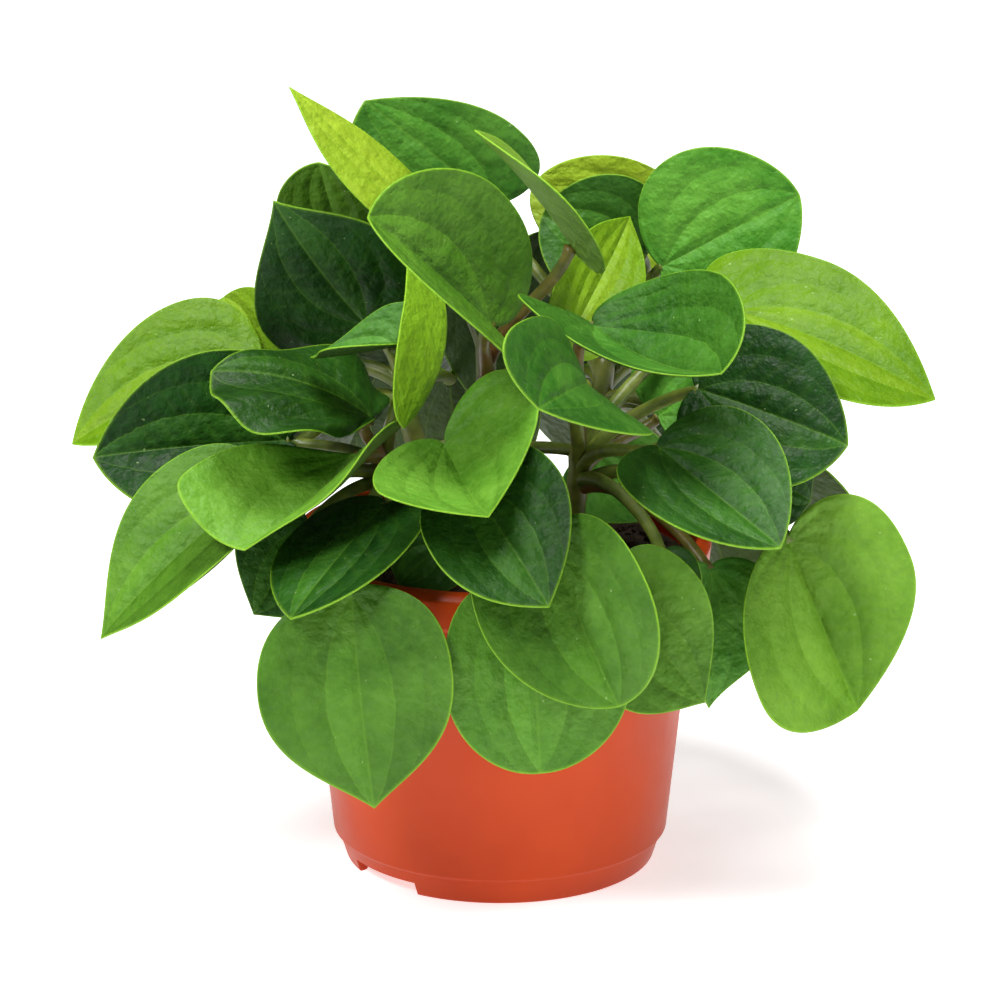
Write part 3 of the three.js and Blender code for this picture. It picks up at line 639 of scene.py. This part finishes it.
def lathe(profile, sides):
    """Points and faces of a body turned about Z, from a profile that starts and ends on the axis."""
    inner = profile[1:-1]
    points = [(0, 0, profile[0][1])]
    for r, z in inner:
        points += [(r * cos(2 * pi * i / sides), r * sin(2 * pi * i / sides), z) for i in range(sides)]
    points.append((0, 0, profile[-1][1]))
    faces = []
    for i in range(sides):
        j = (i + 1) % sides
        faces.append((0, 1 + j, 1 + i))
        for k in range(len(inner) - 1):
            low, high = 1 + k * sides, 1 + (k + 1) * sides
            faces.append((low + i, low + j, high + j, high + i))
        last = 1 + (len(inner) - 1) * sides
        faces.append((last + i, last + j, len(points) - 1))
    return points, faces


def cut(thing, cutter):
    """Takes the cutter's form out of the thing, and deletes the cutter."""
    modifier = thing.modifiers.new("cut", "BOOLEAN")
    modifier.operation = "DIFFERENCE"
    modifier.solver = "EXACT"
    modifier.object = cutter
    bpy.context.view_layer.objects.active = thing
    bpy.ops.object.modifier_apply(modifier=modifier.name)
    bpy.data.objects.remove(cutter)


def pot_piece():
    """The moulded pot, with rounded corners, foot notches and drain holes."""
    inside = [(r - POT_WALL, z) for r, z in reversed(POT_OUTSIDE[2:5])]
    floor_top = FOOT_HEIGHT + POT_WALL
    profile = [
        (0, FOOT_HEIGHT), (FOOT_INNER_RADIUS, FOOT_HEIGHT), (FOOT_INNER_RADIUS, 0),
        *POT_OUTSIDE, POT_LIP, *inside, (POT_FLOOR_RADIUS, floor_top), (0, floor_top),
    ]
    thing = add_mesh("fine_pot", *lathe(filleted(profile, POT_FILLET), POT_SIDES))
    for angle in FOOT_NOTCH["angles"]:
        bpy.ops.mesh.primitive_cube_add(size=1)
        block = bpy.context.object
        size = (FOOT_NOTCH["length"], FOOT_NOTCH["width"], 2 * FOOT_NOTCH["height"])
        block.scale = Vector(size) * MM
        a = radians(angle)
        block.location = Vector((cos(a), sin(a), 0)) * FOOT_NOTCH["middle"] * MM
        block.rotation_euler = (0, 0, a)
        bevel = block.modifiers.new("soft", "BEVEL")
        bevel.width = NOTCH_BEVEL["width"] * MM
        bevel.segments = NOTCH_BEVEL["segments"]
        cut(thing, block)
    for i in range(DRAIN_HOLE["count"]):
        a = 2 * pi * i / DRAIN_HOLE["count"]
        place = Vector((cos(a), sin(a), 0)) * DRAIN_HOLE["circle"] * MM
        bpy.ops.mesh.primitive_cylinder_add(
            vertices=DRAIN_HOLE["sides"], radius=DRAIN_HOLE["radius"] * MM,
            depth=4 * floor_top * MM, location=place,
        )
        cut(thing, bpy.context.object)
    shade_by_angle(thing, POT_SMOOTH_ANGLE)
    return thing


def shade_by_angle(thing, degrees):
    bpy.context.view_layer.objects.active = thing
    thing.select_set(True)
    bpy.ops.object.shade_smooth_by_angle(angle=radians(degrees))
    thing.select_set(False)


# Materials

# Places of the factor and the two colours among the sockets of a colour mix, and of its result
MIX_INPUTS = (0, 6, 7)
MIX_OUTPUT = 2


class Material:
    """A node material and short ways to add its nodes and links."""

    def __init__(self, name):
        self.made = bpy.data.materials.new(name)
        self.made.use_nodes = True
        self.nodes = self.made.node_tree.nodes
        self.links = self.made.node_tree.links
        self.shader = self.nodes["Principled BSDF"]
        self.output = self.nodes["Material Output"]

    def node(self, kind, **inputs):
        node = self.nodes.new(kind)
        for key, value in inputs.items():
            self.set(node.inputs[key.replace("_", " ")], value)
        return node

    def set(self, socket, value):
        if isinstance(value, bpy.types.NodeSocket):
            self.links.new(value, socket)
        else:
            socket.default_value = value

    def attribute(self, name):
        node = self.nodes.new("ShaderNodeAttribute")
        node.attribute_name = name
        return node.outputs["Fac"]

    def noise(self, scale, detail=4, roughness=0.55):
        place = self.nodes.new("ShaderNodeTexCoord").outputs["Object"]
        node = self.node("ShaderNodeTexNoise", Vector=place, Scale=scale, Detail=detail)
        node.inputs["Roughness"].default_value = roughness
        return node.outputs["Fac"]

    def ramp(self, value, low, high, to_low=0.0, to_high=1.0):
        node = self.node("ShaderNodeMapRange", Value=value)
        for key, number in zip(("From Min", "From Max", "To Min", "To Max"), (low, high, to_low, to_high)):
            node.inputs[key].default_value = number
        return node.outputs["Result"]

    def maths(self, operation, a, b):
        node = self.nodes.new("ShaderNodeMath")
        node.operation = operation
        self.set(node.inputs[0], a)
        self.set(node.inputs[1], b)
        return node.outputs[0]

    def mix(self, factor, a, b):
        node = self.nodes.new("ShaderNodeMix")
        node.data_type = "RGBA"
        for place, value in zip(MIX_INPUTS, (factor, a, b)):
            self.set(node.inputs[place], value)
        return node.outputs[MIX_OUTPUT]

    def bump(self, height, strength, distance, under=None):
        node = self.node("ShaderNodeBump", Height=height, Strength=strength, Distance=distance)
        if under is not None:
            self.set(node.inputs["Normal"], under)
        return node.outputs["Normal"]


def colour(red, green, blue):
    """An sRGB colour, 0 to 255, as the linear colour that a socket takes."""
    linear = [c / 3294.6 if c <= 10 else ((c / 255 + 0.055) / 1.055) ** 2.4 for c in (red, green, blue)]
    return (*linear, 1.0)


def leaf_material():
    """Waxy leaf: dark to lime by the tone, creased along its veins, a bright thin margin, painted shadow
    and sheen.
    """
    m = Material("leaf")
    margin, under, tone, shade = (m.attribute(key) for key in ("margin", "underside", "tone", "shade"))
    inside = m.attribute("inside")
    fine = m.noise(620, 1)
    line, crease = 0.0, 1.0
    for k, (strength, reach, sheen) in enumerate(VEIN_LOOKS):
        signed = m.attribute(f"vein_{k}")
        distance = m.maths("ABSOLUTE", signed, 0.0)
        drawn = m.maths("MULTIPLY", m.ramp(distance, 0, reach, 1.0, 0.0), strength)
        line = m.maths("MAXIMUM", line, drawn)
        groove = m.ramp(distance, 0, 2.2, 1 - strength, 1.0)
        crease = m.maths("MINIMUM", crease, groove)
        # Painted sheen and shade: one side of each vein is painted lighter and the other darker, as light
        # falls on the blade swelling between veins
        slope = m.maths("MULTIPLY", m.maths("SIGN", signed, 0.0), m.ramp(distance, 0, 12, sheen, 0.0))
        shade = m.maths("SUBTRACT", shade, slope)
    rib = m.ramp(m.maths("PINGPONG", m.attribute("rib"), 0.5), 0, 0.22)
    crinkle = m.bump(m.noise(170, 3, 0.6), 0.8, 0.002)
    ribbed = m.bump(m.maths("MULTIPLY", rib, inside), 0.4, 0.00018, crinkle)
    creased = m.bump(crease, 0.8, 0.0005, ribbed)
    mottle = m.maths("ADD", m.maths("MULTIPLY", m.ramp(m.noise(45, 1), 0.35, 0.68), 0.65),
                     m.maths("MULTIPLY", m.ramp(m.noise(330, 2, 0.7), 0.35, 0.65), 0.35))
    # From deep to fresh green by the shade value, which holds the leaf's own lightness and painted shadow
    deep = m.mix(mottle, colour(8, 44, 3), colour(26, 74, 10))
    fresh = m.mix(mottle, colour(56, 120, 24), colour(98, 158, 52))
    dark = m.mix(shade, deep, fresh)
    lime = m.mix(shade, m.mix(mottle, colour(74, 116, 1), colour(98, 140, 3)),
                 m.mix(mottle, colour(138, 170, 30), colour(164, 192, 52)))
    upper = m.mix(tone, dark, lime)
    # Under face: painted shadow inside the plant, painted light where lit from below, over its paler green
    pale = m.mix(m.attribute("underside_light"), colour(28, 56, 16), colour(122, 160, 82))
    pale = m.mix(tone, pale, colour(120, 164, 30))
    base = m.mix(under, upper, pale)
    hint = m.maths("MULTIPLY", m.maths("SUBTRACT", 1.0, rib), m.maths("MULTIPLY", inside, 0.05))
    veins = m.maths("MAXIMUM", m.maths("MULTIPLY", line, 0.24), hint)
    base = m.mix(veins, base, colour(112, 158, 44))
    base = m.mix(m.maths("MULTIPLY", margin, 0.6), base, colour(146, 200, 44))
    speck = m.ramp(m.noise(900, 0), 0.86, 0.88)
    base = m.mix(m.maths("MULTIPLY", speck, 0.35), base, colour(180, 206, 140))
    m.set(m.shader.inputs["Base Color"], base)
    m.set(m.shader.inputs["Roughness"], m.ramp(fine, 0.3, 0.7, 0.46, 0.60))
    m.shader.inputs["Specular IOR Level"].default_value = 0.2
    m.shader.inputs["Coat Weight"].default_value = 0.02
    m.shader.inputs["Coat Roughness"].default_value = 0.3
    m.set(m.shader.inputs["Normal"], creased)
    light = m.node("ShaderNodeBsdfTranslucent")
    m.set(light.inputs["Color"], m.mix(tone, colour(60, 120, 12), colour(160, 200, 24)))
    m.set(light.inputs["Normal"], creased)
    both = m.node("ShaderNodeMixShader")
    both.inputs[0].default_value = 0.10
    m.links.new(m.shader.outputs[0], both.inputs[1])
    m.links.new(light.outputs[0], both.inputs[2])
    m.links.new(both.outputs[0], m.output.inputs["Surface"])
    return m.made


def stem_material():
    """Juicy stalks, green at the leaf and red-brown lower down, most of all on the red ones."""
    m = Material("stem")
    along, red = m.attribute("along"), m.attribute("red")
    streak = m.ramp(m.noise(210, 5), 0.35, 0.7)
    green = m.mix(streak, colour(74, 100, 28), colour(112, 136, 48))
    brown = m.mix(streak, colour(84, 36, 20), colour(120, 62, 32))
    lower = m.maths("SUBTRACT", 1.0, m.maths("MULTIPLY", along, 0.5))
    blush = m.maths("MULTIPLY", red, m.maths("MULTIPLY", lower, m.ramp(m.noise(60), 0.3, 0.6, 0.6, 1.3)))
    m.set(m.shader.inputs["Base Color"], m.mix(blush, green, brown))
    m.set(m.shader.inputs["Roughness"], m.ramp(streak, 0, 1, 0.34, 0.5))
    m.shader.inputs["Subsurface Weight"].default_value = 0.15
    m.shader.inputs["Subsurface Scale"].default_value = 0.002
    m.set(m.shader.inputs["Normal"], m.bump(m.noise(420, 4), 0.25, 0.0006))
    return m.made


def soil_material():
    """Dark soil with lighter grains."""
    m = Material("soil")
    clod = m.noise(260, 8, 0.7)
    grains = m.ramp(m.noise(900, 2), 0.62, 0.7)
    base = m.mix(m.ramp(clod, 0.3, 0.7), colour(28, 19, 14), colour(74, 52, 37))
    m.set(m.shader.inputs["Base Color"], m.mix(m.maths("MULTIPLY", grains, 0.5), base, colour(122, 98, 74)))
    m.set(m.shader.inputs["Roughness"], m.ramp(clod, 0.2, 0.8, 0.8, 1.0))
    m.set(m.shader.inputs["Normal"], m.bump(clod, 0.8, 0.0016))
    return m.made


def pot_material():
    """Terracotta-coloured moulded plastic with a faint grain and thin wear."""
    m = Material("pot")
    cloud = m.ramp(m.noise(22, 3), 0.35, 0.65)
    grain = m.noise(2400, 3)
    base = m.mix(cloud, colour(182, 56, 3), colour(192, 64, 7))
    m.set(m.shader.inputs["Base Color"], base)
    m.set(m.shader.inputs["Roughness"], m.ramp(m.noise(80, 5), 0.3, 0.7, 0.36, 0.48))
    m.shader.inputs["Specular IOR Level"].default_value = 0.22
    m.set(m.shader.inputs["Normal"], m.bump(grain, 0.1, 0.0002))
    return m.made


def floor_material():
    """A matt white floor that glows a little, so that it stays pale in the shadow."""
    m = Material("floor")
    m.set(m.shader.inputs["Base Color"], m.mix(m.noise(3), (0.86, 0.86, 0.86, 1), (0.88, 0.88, 0.88, 1)))
    m.shader.inputs["Roughness"].default_value = 0.9
    m.shader.inputs["Specular IOR Level"].default_value = 0.1
    m.shader.inputs["Emission Color"].default_value = (1, 1, 1, 1)
    m.shader.inputs["Emission Strength"].default_value = FLOOR_GLOW
    return m.made


# The scene around the plant


def add_floor():
    bpy.ops.mesh.primitive_plane_add(size=8)
    floor = bpy.context.object
    floor.name = "floor"
    floor.data.materials.append(floor_material())


def add_light(name, place, size, power):
    light = bpy.data.lights.new(name, "AREA")
    light.size = size
    light.energy = power
    thing = bpy.data.objects.new(name, light)
    thing.location = place
    thing.rotation_euler = (Vector(AIM) - Vector(place)).to_track_quat("-Z", "Y").to_euler()
    bpy.context.scene.collection.objects.link(thing)


def add_lights():
    for name, place, size, power in LIGHTS:
        add_light(name, place, size, power)
    world = bpy.data.worlds.new("studio")
    bpy.context.scene.world = world
    world.use_nodes = True
    background = world.node_tree.nodes["Background"]
    background.inputs["Color"].default_value = (1, 1, 1, 1)
    background.inputs["Strength"].default_value = SKY


def add_camera():
    camera = bpy.data.objects.new("camera", bpy.data.cameras.new("camera"))
    tilt = radians(ELEVATION)
    camera.location = Vector(AIM) + DISTANCE * Vector((0, -cos(tilt), sin(tilt)))
    camera.rotation_euler = (radians(90 - ELEVATION), 0, 0)
    camera.data.lens = LENS
    camera.data.sensor_width = 36
    bpy.context.scene.collection.objects.link(camera)
    bpy.context.scene.camera = camera


noise.seed_set(LEAF_SEED)
leaves = [{**LEAF, **row} for row in LEAVES]
leaf_look = leaf_material()
stem_look = stem_material()
for leaf in leaves:
    finish_piece(blade(leaf), f"leaf_{leaf['name']}", leaf_look)
for name, stem in STEMS.items():
    own = [leaf for leaf in leaves if leaf["stem"] == name]
    finish_piece(stem_piece(name, stem, own), f"stem_{name}", stem_look)
finish_piece(soil_piece(), "soil", soil_material())
finish_piece(pot_piece(), "pot", pot_material())

add_floor()
add_lights()
add_camera()
bpy.context.scene.view_settings.view_transform = "Standard"
